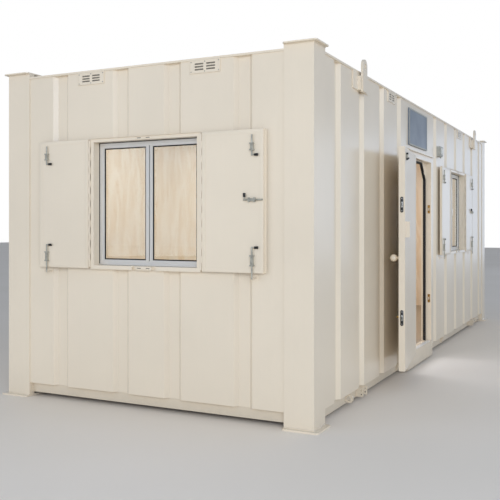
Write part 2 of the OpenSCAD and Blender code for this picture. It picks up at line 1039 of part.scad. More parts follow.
module wall_vents() {
    color(cream_dark) {
        for (end = [0, 1])
            mirror([0, end, 0])
                on_front()
                    for (s = [-1, 1])
                        translate([s*end_vent_x, 0, 0])
                            vent();
        for (side = [0, 1])
            mirror([side, 0, 0])
                on_right()
                    for (s = [-1, 1])
                        translate([s*side_vent_y, 0, 0])
                            vent();
    }
}

// A lifting plate with its doubler on the wall, three gussets and a shelf between them
module lug() {
    stand = 26;
    doubler_w = 400;
    doubler_h = 140;
    doubler_t = 10;
    rib_t = 12;
    rib_h = 110;
    wing = 20;
    past = 4;
    top = roof_edge_z + lug_up;
    doubler_z = wall_z1 - doubler_h;
    low = doubler_z - doubler_t;
    eye_z = top - lug_w/2;
    difference() {
        union() {
            translate([-lug_w/2, -stand - lug_t, low])
                cube([lug_w, lug_t, eye_z - low]);
            translate([0, -stand, eye_z])
                rotate([90, 0, 0])
                    cylinder(r = lug_w/2, h = lug_t);
            translate([-doubler_w/2, -doubler_t, doubler_z])
                cube([doubler_w, doubler_t, doubler_h]);
            for (x = [-lug_w/2 - wing, -rib_t/2, lug_w/2 + wing - rib_t])
                translate([x, -stand - past, low + rib_t])
                    cube([rib_t, stand + past, rib_h]);
            translate([-lug_w/2 - wing, -stand - past, low + rib_t])
                cube([lug_w + 2*wing, stand + past, rib_t]);
        }
        translate([0, -stand + 1, eye_z])
            rotate([90, 0, 0])
                cylinder(r = lug_hole_r, h = lug_t + 2);
    }
}

module lifting_lugs() {
    color(cream)
        on_both_sides()
            on_right()
                for (s = [-1, 1])
                    translate([s*lug_y, 0, 0])
                        lug();
}

// A flat ring standing out from the side rail, with its hole along the cabin
module tie_down_eye() {
    t = 16;
    sunk = 6;
    root = 12;
    root_h = 40;
    rail_x = half_w - rail_inset;
    z = rail_clear + rail_h/2;
    difference() {
        union() {
            translate([rail_x + eye_r - sunk, t/2, z])
                rotate([90, 0, 0])
                    cylinder(r = eye_r, h = t);
            translate([rail_x, -t/2, z - root_h/2])
                cube([root, t, root_h]);
        }
        translate([rail_x + eye_r - sunk, t/2 + 1, z])
            rotate([90, 0, 0])
                cylinder(r = eye_hole_r, h = t + 2);
        translate([rail_x - eye_r, -t, z - eye_r - 1])
            cube([eye_r, 2*t, 2*eye_r + 2]);
    }
}

module tie_down_eyes() {
    color(cream)
        on_both_sides()
            for (s = [-1, 1])
                translate([0, s*eye_y, 0])
                    tie_down_eye();
}

// A pair of drilled cheeks on the side rail
module bracket_pair() {
    cheek_t = 12;
    cheek_out = 62;
    inner_gap = 92;
    margin = 4;
    hole_r = 7;
    hole_x = 47;
    for (y = [-inner_gap/2 - cheek_t, inner_gap/2])
        difference() {
            translate([half_w - rail_inset, y, rail_clear + margin])
                cube([cheek_out, cheek_t, rail_h - 2*margin]);
            for (z = [rail_clear + 26, rail_clear + 56])
                translate([half_w - rail_inset + hole_x, y + cheek_t + 1, z])
                    rotate([90, 0, 0])
                        cylinder(r = hole_r, h = cheek_t + 2);
        }
}

// A tapered gusset under the wall
module sill_gusset() {
    t = 12;
    toe = 12;
    low = 2;
    translate([half_w - rail_inset, t/2, 0])
        rotate([90, 0, 0])
            linear_extrude(t)
                polygon([[0, rail_clear + low], [toe, rail_clear + low],
                         [rail_inset - wall_recess, wall_z0], [0, wall_z0]]);
}

module base_brackets() {
    color(cream_dark)
        on_both_sides() {
            for (s = [-1, 1])
                translate([0, s*bracket_y, 0])
                    bracket_pair();
            for (y = [frame_y0 - groove_w, side_win_y - 1.4*half_win])
                translate([0, y, 0])
                    sill_gusset();
        }
}

from_datum() base_rails();
from_datum() floor_joists();
from_datum() floor_deck();
from_datum() corner_posts();
from_datum() post_plates();
from_datum() front_wall_sides();
from_datum() front_wall_window_bay();
from_datum() right_wall_front();
from_datum() right_wall_over_door();
from_datum() right_wall_middle();
from_datum() right_wall_window_bay();
from_datum() right_wall_rear();
from_datum() left_wall();
from_datum() rear_wall();
from_datum() wall_lining();
from_datum() ceiling();
from_datum() roof_panel();
from_datum() roof_edge_trim();
from_datum() door_frame();
from_datum() door_seal();
from_datum() door_sill();
from_datum() door_strikes();
from_datum() door_drip_strip();
from_datum() door_sign();
from_datum() light_box();
from_datum() door_leaf();
from_datum() door_handles();
from_datum() door_locks();
from_datum() door_bolt();
from_datum() front_window_box();
from_datum() front_window_frame();
from_datum() front_window_glass();
from_datum() side_window_box();
from_datum() side_window_frame();
from_datum() side_window_glass();
from_datum() front_left_shutter();
from_datum() front_right_shutter();
from_datum() side_near_shutter();
from_datum() side_far_shutter();
from_datum() front_left_bolts();
from_datum() front_right_bolts();
from_datum() side_near_bolts();
from_datum() side_far_bolts();
from_datum() shutter_keepers();
from_datum() wall_vents();
from_datum() lifting_lugs();
from_datum() tie_down_eyes();
from_datum() base_brackets();
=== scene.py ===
"""Looks of a portable site cabin: painted steel, windows, shutters, door and fittings.

Everything is in metres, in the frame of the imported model: +Z up, +Y along the cabin,
with the origin under the middle of the front right corner post.
"""

import json
import math

import bpy
from bpy.props import FloatProperty, FloatVectorProperty, IntProperty, PointerProperty
from mathutils import Matrix, Vector


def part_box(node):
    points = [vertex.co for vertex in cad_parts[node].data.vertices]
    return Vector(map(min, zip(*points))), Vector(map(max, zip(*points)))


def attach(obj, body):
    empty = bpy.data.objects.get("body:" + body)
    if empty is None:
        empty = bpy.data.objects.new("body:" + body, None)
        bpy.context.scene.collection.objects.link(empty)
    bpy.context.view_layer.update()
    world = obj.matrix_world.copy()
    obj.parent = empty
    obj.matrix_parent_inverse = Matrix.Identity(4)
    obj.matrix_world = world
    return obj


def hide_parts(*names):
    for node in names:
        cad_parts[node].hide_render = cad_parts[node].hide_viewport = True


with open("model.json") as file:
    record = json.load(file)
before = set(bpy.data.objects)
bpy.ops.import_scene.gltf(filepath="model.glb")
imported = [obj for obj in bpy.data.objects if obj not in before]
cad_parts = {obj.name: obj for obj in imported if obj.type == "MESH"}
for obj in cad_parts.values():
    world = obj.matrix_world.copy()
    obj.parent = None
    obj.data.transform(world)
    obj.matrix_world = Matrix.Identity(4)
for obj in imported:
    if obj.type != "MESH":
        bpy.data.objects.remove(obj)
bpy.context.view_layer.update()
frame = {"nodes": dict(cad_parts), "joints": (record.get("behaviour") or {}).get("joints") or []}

bl_info = {
    "name": "Portable site cabin",
    "version": (1, 0, 0),
    "blender": (4, 5, 0),
    "location": "View3D > Sidebar > Site cabin",
    "description": "Adds the finish and the small fittings to a steel site cabin",
    "category": "Add Mesh",
}

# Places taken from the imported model
FRONT_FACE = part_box("front_wall_sides")[0].y
RIGHT_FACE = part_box("right_wall_middle")[1].x
LEFT_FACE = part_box("left_wall")[0].x
REAR_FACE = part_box("rear_wall")[1].y
MIDDLE_X = (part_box("rear_wall")[0].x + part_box("rear_wall")[1].x) / 2
MIDDLE_Y = (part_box("left_wall")[0].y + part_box("left_wall")[1].y) / 2
HINGE = next(Vector(joint["pos_m"]) for joint in frame["joints"]
             if joint["name"] == "door_hinge")

# The door: its opening angle, leaf, hinge pin off the jamb and out of the wall, and doorway
DOOR_OPEN = math.radians(172)
LEAF_WIDTH = 0.975
LEAF_THICK = 0.052
JAMB_GAP = 0.0025
HINGE_LINE = 0.043
DOORWAY_WIDTH = 0.985
LOCK_HEIGHTS = (0.635, 1.602)

# The other fittings, from the middle of their wall
END_VENT_OUT = 0.517
SIDE_VENT_OUT = 1.64
LUG_OUT = 2.595
LUG_PLATE_TOP = 2.644


def linear(hex_colour):
    """Linear RGBA of an sRGB hex colour such as #DDD6C6."""
    values = [int(hex_colour[i:i + 2], 16) / 255 for i in (1, 3, 5)]
    return [v / 12.92 if v <= 0.04045 else ((v + 0.055) / 1.055) ** 2.4 for v in values] + [1.0]


# ---- Sizes and colours that a user would change ----


class CabinPaint(bpy.types.PropertyGroup):
    """Colours of the cabin's finishes"""

    def colour(name, description, hex_colour):
        return FloatVectorProperty(name=name, description=description, subtype="COLOR",
                                   size=4, min=0, max=1, default=linear(hex_colour))

    walls: colour("Walls", "Paint of the walls, posts, shutters and door", "#ECDDC4")
    base: colour("Base", "Paint of the base rails and joists", "#E2D3BA")
    roof: colour("Roof", "Paint of the roof sheet", "#E3D6BF")
    lining: colour("Lining", "Pale veneer of the inner boards", "#F0DFC6")
    lining_figure: colour("Lining figure", "Darker grain of the inner boards", "#E8D0AE")
    floor: colour("Floor", "Vinyl sheet on the floor", "#A9957B")
    sign: colour("Sign", "Face of the board over the door", "#6A737D")
    peel: FloatProperty(name="Paint texture", description="Depth of the sprayed paint's texture",
                        default=0.0006, min=0, max=0.01, unit="LENGTH")


class CabinFittings(bpy.types.PropertyGroup):
    """Sizes of the small fittings"""

    gasket: FloatProperty(name="Gasket", description="Width of the black glazing gaskets",
                          default=0.009, min=0.002, max=0.02, unit="LENGTH")
    sash: FloatProperty(name="Sash", description="Width of the sliding sash rails",
                        default=0.014, min=0.01, max=0.04, unit="LENGTH")
    rim: FloatProperty(name="Shutter rim", description="Width of the folded rim of a shutter",
                       default=0.028, min=0.01, max=0.05, unit="LENGTH")
    rivet: FloatProperty(name="Rivet", description="Radius of the hinge rivet heads",
                         default=0.0045, min=0.002, max=0.01, unit="LENGTH")
    rivets: IntProperty(name="Rivets", description="Rivets down each shutter hinge",
                        default=19, min=3, max=60)
    screw: FloatProperty(name="Screw", description="Radius of the small screw heads",
                         default=0.004, min=0.001, max=0.01, unit="LENGTH")
    grip: FloatProperty(name="Bolt grip", description="Radius of the black grips of the bolts",
                        default=0.0095, min=0.004, max=0.02, unit="LENGTH")
    edge: FloatProperty(name="Edge", description="Rounding of small pressed edges",
                        default=0.0015, min=0.0005, max=0.005, unit="LENGTH")


class CabinStage(bpy.types.PropertyGroup):
    """Strength of the studio lights"""

    key: FloatProperty(name="Key", description="Power of the main soft light",
                       default=620, min=0, unit="POWER")
    side: FloatProperty(name="Side", description="Power of the light along the door side",
                        default=240, min=0, unit="POWER")
    room: FloatProperty(name="Room", description="Power of each lamp inside the cabin",
                        default=26, min=0, unit="POWER")
    sky: FloatProperty(name="Sky", description="Strength of the white surroundings",
                       default=0.46, min=0)


# ---- Materials ----


def put(tree, kind, inputs=None, links=None, **settings):
    """Adds a node with its settings, socket values and links."""
    node = tree.nodes.new(kind)
    for key, value in settings.items():
        setattr(node, key, value)
    for key, value in (inputs or {}).items():
        node.inputs[key].default_value = value
    for key, (source, output) in (links or {}).items():
        tree.links.new(source.outputs[output], node.inputs[key])
    return node


def new_finish(name, **sockets):
    """An empty material with its shader, the shader's sockets set, and object coordinates."""
    material = bpy.data.materials.new(name)
    material.use_nodes = True
    tree = material.node_tree
    tree.nodes.clear()
    shader = put(tree, "ShaderNodeBsdfPrincipled",
                 inputs={key.replace("_", " "): value for key, value in sockets.items()})
    put(tree, "ShaderNodeOutputMaterial", links={"Surface": (shader, "BSDF")})
    place = put(tree, "ShaderNodeTexCoord")
    return material, tree, shader, place


def two_tones(tree, pattern, first, second, start=0.35, end=0.65):
    """A ramp between two colours, driven by a pattern."""
    ramp = put(tree, "ShaderNodeValToRGB", links={"Fac": (pattern, "Fac")})
    for stop, position, colour in zip(ramp.color_ramp.elements, (start, end), (first, second)):
        stop.position, stop.color = position, colour
    return ramp


def steel_paint(name, colour, peel, roughness=0.34, dirt=0.10, dirt_top=0.30):
    """Two-pack polyurethane sprayed on pressed steel sheet.

    The eye sees a soft sheen, a fine orange peel, and long shallow waves in the sheet that
    bend its reflections. Road dirt lies on the lowest part.
    """
    material, tree, shader, place = new_finish(name, Roughness=roughness, Coat_Weight=0.5,
                                               Coat_Roughness=0.22)
    cloud = put(tree, "ShaderNodeTexNoise", {"Scale": 1.1, "Detail": 3.0},
                {"Vector": (place, "Object")})
    tone = two_tones(tree, cloud, [c * 0.965 for c in colour[:3]] + [1],
                     [min(1, c * 1.02) for c in colour[:3]] + [1])
    height = put(tree, "ShaderNodeSeparateXYZ", links={"Vector": (place, "Object")})
    low = put(tree, "ShaderNodeMapRange", {"From Min": dirt_top, "From Max": 0.0,
                                           "To Min": 0.0, "To Max": dirt},
              {"Value": (height, "Z")})
    splash = put(tree, "ShaderNodeTexNoise", {"Scale": 9.0, "Detail": 5.0, "Roughness": 0.65},
                 {"Vector": (place, "Object")})
    patch = put(tree, "ShaderNodeMath", links={0: (low, "Result"), 1: (splash, "Fac")},
                operation="MULTIPLY")
    dirty = put(tree, "ShaderNodeMixRGB", {"Color2": linear("#8E8672")},
                {"Fac": (patch, "Value"), "Color1": (tone, "Color")})
    tree.links.new(dirty.outputs["Color"], shader.inputs["Base Color"])
    # 18 mm grain: the real orange peel of about 3 mm would not show, so it is drawn coarser
    grain = put(tree, "ShaderNodeTexNoise", {"Scale": 55.0, "Detail": 2.0},
                {"Vector": (place, "Object")})
    fine = put(tree, "ShaderNodeBump", {"Strength": 0.35, "Distance": peel},
               {"Height": (grain, "Fac")})
    # Long waves in the sheet, about 0.4 m across
    stretch = put(tree, "ShaderNodeMapping", {"Scale": (2.4, 2.4, 0.7)},
                  {"Vector": (place, "Object")})
    wave = put(tree, "ShaderNodeTexNoise", {"Scale": 1.0, "Detail": 1.0},
               {"Vector": (stretch, "Vector")})
    sheet = put(tree, "ShaderNodeBump", {"Strength": 0.5, "Distance": 0.012},
                {"Height": (wave, "Fac"), "Normal": (fine, "Normal")})
    # Faint upright lines left by the rolls, about 20 mm apart
    upright = put(tree, "ShaderNodeMapping", {"Scale": (50.0, 50.0, 0.6)},
                  {"Vector": (place, "Object")})
    rolled = put(tree, "ShaderNodeTexNoise", {"Scale": 1.0, "Detail": 1.0},
                 {"Vector": (upright, "Vector")})
    sheet = put(tree, "ShaderNodeBump", {"Strength": 0.5, "Distance": 0.0018},
                {"Height": (rolled, "Fac"), "Normal": (sheet, "Normal")})
    tree.links.new(sheet.outputs["Normal"], shader.inputs["Normal"])
    return material


def grained_board(name, pale, dark, roughness, along=(9.0, 9.0, 2.2)):
    """Birch-faced board: pale, with a loose wavy figure along the grain and a satin lacquer."""
    material, tree, shader, place = new_finish(name, Roughness=roughness, Coat_Weight=0.1)
    run = put(tree, "ShaderNodeMapping", {"Scale": along}, {"Vector": (place, "Object")})
    figure = put(tree, "ShaderNodeTexNoise", {"Scale": 1.0, "Detail": 5.0, "Distortion": 0.9},
                 {"Vector": (run, "Vector")})
    ramp = two_tones(tree, figure, dark, pale, 0.36, 0.60)
    tree.links.new(ramp.outputs["Color"], shader.inputs["Base Color"])
    bump = put(tree, "ShaderNodeBump", {"Strength": 0.15, "Distance": 0.0008},
               {"Height": (figure, "Fac")})
    tree.links.new(bump.outputs["Normal"], shader.inputs["Normal"])
    return material


def speckled(name, first, second, scale, roughness, metallic=0.0, bump=0.0003, **sockets):
    """A plain finish with a small drift of tone and a fine surface texture."""
    material, tree, shader, place = new_finish(name, Roughness=roughness, Metallic=metallic,
                                               **sockets)
    spots = put(tree, "ShaderNodeTexNoise", {"Scale": scale, "Detail": 4.0},
                {"Vector": (place, "Object")})
    ramp = two_tones(tree, spots, first, second)
    tree.links.new(ramp.outputs["Color"], shader.inputs["Base Color"])
    texture = put(tree, "ShaderNodeBump", {"Strength": 0.3, "Distance": bump},
                  {"Height": (spots, "Fac")})
    tree.links.new(texture.outputs["Normal"], shader.inputs["Normal"])
    return material


def brushed_aluminium(name):
    """Satin anodised extrusion: pale grey metal with fine lines along its length."""
    material, tree, shader, place = new_finish(name, Metallic=0.35, Roughness=0.36,
                                               Base_Color=linear("#E6E2DA"))
    run = put(tree, "ShaderNodeMapping", {"Scale": (160.0, 160.0, 6.0)},
              {"Vector": (place, "Object")})
    lines = put(tree, "ShaderNodeTexNoise", {"Scale": 1.0, "Detail": 3.0},
                {"Vector": (run, "Vector")})
    shine = put(tree, "ShaderNodeMapRange", {"To Min": 0.28, "To Max": 0.46},
                {"Value": (lines, "Fac")})
    tree.links.new(shine.outputs["Result"], shader.inputs["Roughness"])
    bump = put(tree, "ShaderNodeBump", {"Strength": 0.2, "Distance": 0.0002},
               {"Height": (lines, "Fac")})
    tree.links.new(bump.outputs["Normal"], shader.inputs["Normal"])
    return material


def float_glass(name):
    """Clear float glass with a little unevenness that bends its reflections."""
    material, tree, shader, place = new_finish(name, Roughness=0.0, IOR=1.5,
                                               Transmission_Weight=1.0,
                                               Base_Color=linear("#F4FAF7"))
    ripple = put(tree, "ShaderNodeTexNoise", {"Scale": 1.5, "Detail": 1.0},
                 {"Vector": (place, "Object")})
    bump = put(tree, "ShaderNodeBump", {"Strength": 0.05, "Distance": 0.001},
               {"Height": (ripple, "Fac")})
    tree.links.new(bump.outputs["Normal"], shader.inputs["Normal"])
    return material


FINISH = {}


def make_finishes(paint):
    """Makes each finish once, from the paint settings."""
    walls, base, roof = list(paint.walls), list(paint.base), list(paint.roof)
    FINISH.update(
        walls=steel_paint("cream_polyurethane_on_steel", walls, paint.peel),
        base=steel_paint("chassis_paint", base, paint.peel, 0.45, 0.45, 0.16),
        roof=steel_paint("roof_paint", roof, paint.peel, 0.45, 0.0),
        lining=grained_board("birch_faced_board", list(paint.lining),
                             list(paint.lining_figure), 0.42),
        # Sheet vinyl with a fine fleck, worn dull
        floor=speckled("sheet_vinyl", linear("#9C8970"), list(paint.floor), 90, 0.55),
        # White vinyl-faced plasterboard of the ceiling
        ceiling=speckled("vinyl_faced_board", linear("#EDEBE4"), linear("#F4F2EC"), 40, 0.6),
        aluminium=brushed_aluminium("anodised_aluminium"),
        glass=float_glass("float_glass"),
        # EPDM seal: soft black rubber with a dull bloom
        rubber=speckled("epdm_rubber", linear("#0B0B0B"), linear("#151514"), 60, 0.7),
        # Lacquered brass keep, slightly tarnished
        brass=speckled("brass", linear("#8C6A34"), linear("#B8924E"), 120, 0.32, 1.0),
        # Printed face of a rigid plastic board, in two soft tones
        sign=speckled("sign_board_print", list(paint.sign), linear("#858D95"), 2.2, 0.38),
        # Moulded ABS lamp housing, greyed by the weather
        plastic=speckled("grey_abs", linear("#A9A89F"), linear("#B9B8AE"), 70, 0.5),
        # Opal polycarbonate diffuser
        opal=speckled("opal_polycarbonate", linear("#DCDBD2"), linear("#E6E5DE"), 50, 0.35),
        # Black powder coat with a fine leather grain
        black=speckled("black_powder_coat", linear("#151515"), linear("#232321"), 300, 0.4),
        # Black moulded nylon grips
        nylon=speckled("black_nylon", linear("#121211"), linear("#1C1B1A"), 200, 0.35),
        # Bright zinc-plated steel, spangled
        zinc=speckled("zinc_plated_steel", linear("#8F8E88"), linear("#B4B3AB"), 90, 0.38, 0.9),
        # The same bolts with overspray of the wall paint on them
        bolt=speckled("overpainted_steel", linear("#9C998C"), linear("#BDB9AA"), 35, 0.42, 0.35),
        # Painted shade: a near-black sheet standing in for the shade inside the vent slots, the keep
        # slots and the latch slot
        shade=speckled("vent_mesh_shade", linear("#171510"), linear("#25221C"), 400, 0.8),
    )


# ---- Modelling helpers ----


def pick_none():
    """Leaves edit mode and deselects everything."""
    if bpy.context.object and bpy.context.object.mode != "OBJECT":
        bpy.ops.object.mode_set(mode="OBJECT")
    bpy.ops.object.select_all(action="DESELECT")


def pick(piece):
    """Selects one piece and makes it active."""
    pick_none()
    piece.select_set(True)
    bpy.context.view_layer.objects.active = piece


def choose(piece, kind, test):
    """Selects in edit mode the vertices or polygons that pass a test."""
    pick(piece)
    bpy.ops.object.mode_set(mode="EDIT")
    bpy.ops.mesh.select_mode(type="VERT" if kind == "vertices" else "FACE")
    bpy.ops.mesh.select_all(action="DESELECT")
    bpy.ops.object.mode_set(mode="OBJECT")
    for element in getattr(piece.data, kind):
        element.select = test(element)
    bpy.ops.object.mode_set(mode="EDIT")


def apply_place(piece):
    """Writes the object's place into its mesh."""
    pick(piece)
    bpy.ops.object.transform_apply(location=True, rotation=True, scale=True)
    return piece


def round_edges(piece, width, segments=2):
    """Rounds the piece's edges with a bevel that is applied."""
    pick(piece)
    bevel = piece.modifiers.new("edges", "BEVEL")
    bevel.width, bevel.segments, bevel.limit_method = width, segments, "ANGLE"
    bevel.angle_limit = math.radians(40)
    bpy.ops.object.modifier_apply(modifier=bevel.name)
    bpy.ops.object.shade_smooth_by_angle(angle=math.radians(35))
    return piece


def block(centre, size, edge):
    """A block with rounded edges."""
    pick_none()
    bpy.ops.mesh.primitive_cube_add(size=1, location=centre, scale=size)
    return round_edges(apply_place(bpy.context.object), edge)


def ring(centre, width, height, band, depth, edge=0.001):
    """A rectangular ring in the XZ plane: a plane is inset, its middle removed, then extruded.

    The outside faces -Y, and depth runs towards +Y from the centre's y.
    """
    pick_none()
    bpy.ops.mesh.primitive_plane_add(size=1, location=centre,
                                     rotation=(math.radians(90), 0, 0))
    piece = bpy.context.object
    piece.scale = (width, height, 1)
    apply_place(piece)
    bpy.ops.object.mode_set(mode="EDIT")
    bpy.ops.mesh.select_all(action="SELECT")
    bpy.ops.mesh.inset(thickness=band)
    bpy.ops.mesh.delete(type="FACE")
    bpy.ops.mesh.select_all(action="SELECT")
    bpy.ops.mesh.extrude_region_move(TRANSFORM_OT_translate={"value": (0, depth, 0)})
    bpy.ops.mesh.select_all(action="SELECT")
    bpy.ops.mesh.normals_make_consistent(inside=False)
    bpy.ops.object.mode_set(mode="OBJECT")
    return round_edges(piece, edge) if edge else piece


def rod(centre, radius, length, axis="Z", edge=0.001, sides=24):
    """A round bar with rounded ends along one axis."""
    turn = {"X": (0, math.radians(90), 0), "Y": (math.radians(90), 0, 0), "Z": (0, 0, 0)}[axis]
    pick_none()
    bpy.ops.mesh.primitive_cylinder_add(vertices=sides, radius=radius, depth=length,
                                        location=centre, rotation=turn)
    return round_edges(apply_place(bpy.context.object), edge)


def dome(centre, radius, height, axis="Y"):
    """A low domed screw or rivet head along one axis, with its middle at the centre."""
    turn = {"Y": (math.radians(90), 0, 0), "X": (0, math.radians(90), 0)}[axis]
    pick_none()
    bpy.ops.mesh.primitive_cylinder_add(vertices=10, radius=radius, depth=height,
                                        location=centre, rotation=turn)
    piece = apply_place(bpy.context.object)
    return round_edges(piece, height * 0.45)


def round_ended(piece, middle, reach):
    """Draws a disc out into a round-ended plate by moving its upper and lower halves apart."""
    for way in (-1, 1):
        choose(piece, "vertices", lambda vertex: (vertex.co.z - middle) * way > 1e-5)
        bpy.ops.transform.translate(value=(0, 0, way * reach))
        bpy.ops.object.mode_set(mode="OBJECT")
    return piece


def copies(piece, offsets):
    """The piece and a copy of it at each further offset, as a list."""
    pieces = [piece]
    for offset in offsets:
        twin = piece.copy()
        twin.data = piece.data.copy()
        bpy.context.scene.collection.objects.link(twin)
        twin.location = offset
        pieces.append(apply_place(twin))
    return pieces


def join(pieces):
    """Joins pieces into the first."""
    pick_none()
    for piece in pieces:
        piece.select_set(True)
    bpy.context.view_layer.objects.active = pieces[0]
    if len(pieces) > 1:
        bpy.ops.object.join()
    return bpy.context.object


def settle(piece, name, finish, body, place=None, flipped=False):
    """Names a piece, gives its finish, moves it to its place and lets it ride on a body."""
    if place is not None:
        piece.matrix_world = place
        apply_place(piece)
    if flipped:
        pick(piece)
        bpy.ops.object.mode_set(mode="EDIT")
        bpy.ops.mesh.select_all(action="SELECT")
        bpy.ops.mesh.normals_make_consistent(inside=False)
        bpy.ops.object.mode_set(mode="OBJECT")
    piece.name = piece.data.name = name
    piece.data.materials.clear()
    piece.data.materials.append(FINISH[finish])
    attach(piece, body)
    return piece


# ---- Places: local X along a wall, local -Y out of it, local Z up ----


def on_front(x=0.0):
    """Place on the window end, centred at x."""
    return Matrix.Translation((x, FRONT_FACE, 0))


def on_right(y=0.0):
    """Place on the door side; local X runs along the cabin's +Y."""
    return Matrix.Translation((RIGHT_FACE, y, 0)) @ Matrix.Rotation(math.radians(90), 4, "Z")


def on_left(y=0.0):
    """Place on the plain side."""
    return Matrix.Translation((LEFT_FACE, y, 0)) @ Matrix.Rotation(math.radians(-90), 4, "Z")


def on_rear(x=0.0):
    """Place on the plain end."""
    return Matrix.Translation((x, REAR_FACE, 0)) @ Matrix.Rotation(math.radians(180), 4, "Z")


def door_place():
    """Place of the open door, for pieces drawn on the shut leaf from its hinge jamb."""
    swing = (Matrix.Translation((JAMB_GAP, -HINGE_LINE, 0))
             @ Matrix.Rotation(-DOOR_OPEN, 4, "Z")
             @ Matrix.Translation((-JAMB_GAP, HINGE_LINE, 0)))
    return jamb_place() @ swing


def jamb_place():
    """Place of the doorway, with local X from the hinge jamb."""
    return on_right(HINGE.y - JAMB_GAP)


WINDOWS = {
    "front": on_front((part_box("front_window_frame")[0].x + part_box("front_window_frame")[1].x) / 2),
    "side": on_right((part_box("side_window_frame")[0].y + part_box("side_window_frame")[1].y) / 2),
}
WINDOW_Z = (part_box("front_window_frame")[0].z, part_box("front_window_frame")[1].z)
WINDOW_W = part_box("front_window_frame")[1].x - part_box("front_window_frame")[0].x
LEAVES = {
    "front_left": ("front", False),
    "front_right": ("front", True),
    "side_near": ("side", False),
    "side_far": ("side", True),
}
# Shutter hinge line, from the window's middle and out of the wall
LEAF_HINGE_X, LEAF_HINGE_OUT = 0.505, 0.042
# The shut leaf's inner face out of the wall, its edge off the hinge line, and its width
LEAF_IN, LEAF_EDGE, SHUTTER_WIDTH = 0.040, 0.009, 0.4935
LEAF_Z = (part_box("front_left_shutter")[0].z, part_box("front_left_shutter")[1].z)


def leaf_place(leaf):
    """Place of an open shutter for pieces drawn on it as the open left leaf."""
    window, mirrored = LEAVES[leaf]
    place = WINDOWS[window]
    return place @ Matrix.Scale(-1, 4, (1, 0, 0)) if mirrored else place


# ---- Operators ----


class CABIN_OT_finish(bpy.types.Operator):
    """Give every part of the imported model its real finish"""

    bl_idname = "cabin.finish"
    bl_label = "Finishes"

    def execute(self, context):
        make_finishes(context.scene.cabin_paint)
        kinds = {
            "base": ("base_rails", "floor_joists", "base_brackets", "door_sill",
                     "tie_down_eyes"),
            "roof": ("roof_panel",),
            "lining": ("wall_lining",),
            "floor": ("floor_deck",),
            "ceiling": ("ceiling",),
            "aluminium": ("front_window_frame", "side_window_frame"),
            "glass": ("front_window_glass", "side_window_glass"),
            "rubber": ("door_seal",),
            "brass": ("door_strikes",),
            "sign": ("door_sign",),
            "plastic": ("light_box",),
            "black": ("door_locks",),
            "bolt": ("door_bolt", "front_left_bolts", "front_right_bolts", "side_near_bolts",
                     "side_far_bolts"),
        }
        chosen = {node: kind for kind, nodes in kinds.items() for node in nodes}
        for name, node in frame["nodes"].items():
            finish = FINISH[chosen.get(name, "walls")]
            if node.material_slots:
                for slot in node.material_slots:
                    slot.material = finish
            else:
                node.data.materials.append(finish)
        return {"FINISHED"}


class CABIN_OT_sashes(bpy.types.Operator):
    """Add the sliding sashes, their black gaskets, the finger pull and the tracks"""

    bl_idname = "cabin.sashes"
    bl_label = "Window sashes"

    def execute(self, context):
        sizes = context.scene.cabin_fittings
        z0, z1 = WINDOW_Z
        middle = (z0 + z1) / 2
        rail = 0.038
        pane_w = WINDOW_W / 2 - rail - 0.025
        pane_h = z1 - z0 - 2 * rail
        pane_x = 0.025 + pane_w / 2
        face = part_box("front_window_frame")[0].y - FRONT_FACE
        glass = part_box("front_window_glass")[0].y - FRONT_FACE
        for name, place in WINDOWS.items():
            sashes, gaskets = [], []
            for side in (-1, 1):
                # Step of the sash on the frame, and the bead that holds the glass
                sashes.append(ring((side * pane_x, face - 0.003, middle),
                                   pane_w + 2 * sizes.sash, pane_h + 2 * sizes.sash,
                                   sizes.sash * 0.6, 0.003, sizes.edge))
                sashes.append(ring((side * pane_x, face + 0.004, middle), pane_w, pane_h,
                                   0.006, 0.010, sizes.edge))
                gaskets.append(ring((side * pane_x, face + 0.010, middle), pane_w, pane_h,
                                    0.006 + sizes.gasket, glass - face - 0.010, 0.0008))
            # The outer gasket between the steel box and the aluminium
            gaskets.append(ring((0, face - 0.0035, middle), WINDOW_W, z1 - z0, 0.005, 0.0035, 0))
            # Meeting stile of the outer sash, with the dark wool pile beside it
            sashes.append(block((-0.006, face - 0.004, middle), (0.022, 0.008, pane_h), 0.002))
            gaskets.append(block((0.012, face - 0.001, middle), (0.010, 0.003, pane_h), 0.001))
            pull = [block((-0.008, face - 0.011, middle), (0.014, 0.006, 0.090), 0.002),
                    block((-0.008, face - 0.015, middle), (0.006, 0.006, 0.078), 0.002)]
            # Bottom track with its upstand
            sashes.append(block((0, face - 0.004, z0 + 0.006), (WINDOW_W - 0.004, 0.008, 0.010),
                                0.002))
            settle(join(sashes + pull), name + "_window_sashes", "aluminium", "cabin",
                   place)
            settle(join(gaskets), name + "_window_gaskets", "rubber", "cabin", place)
        return {"FINISHED"}


class CABIN_OT_window_boxes(bpy.types.Operator):
    """Add the drip edge and the slotted keeps of each window box"""

    bl_idname = "cabin.window_boxes"
    bl_label = "Window box edges"

    def execute(self, context):
        sizes = context.scene.cabin_fittings
        z0, z1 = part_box("front_window_box")[0].z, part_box("front_window_box")[1].z
        for name, place in WINDOWS.items():
            parts = [
                # Drip edge over the box
                block((0, -0.040, z1 - 0.002), (0.99, 0.014, 0.0036), sizes.edge),
                # Keeps for the middle bolts, above and below, clear of the shut leaves
                block((0, -0.0362, z1 - 0.016), (0.15, 0.0026, 0.020), 0.001),
                block((0, -0.0362, z0 + 0.016), (0.15, 0.0026, 0.020), 0.001),
            ]
            settle(join(parts), name + "_window_keeps", "walls", "cabin", place)
            # Near-black strips on the keeps: painted shade standing in for the shade inside their
            # slots
            slots = [block((x, -0.0373, z), (0.034, 0.0008, 0.0045), 0.0003)
                     for x in (-0.04, 0.04) for z in (z1 - 0.016, z0 + 0.016)]
            settle(join(slots), name + "_window_keep_slots", "shade", "cabin",
                   place)
        return {"FINISHED"}


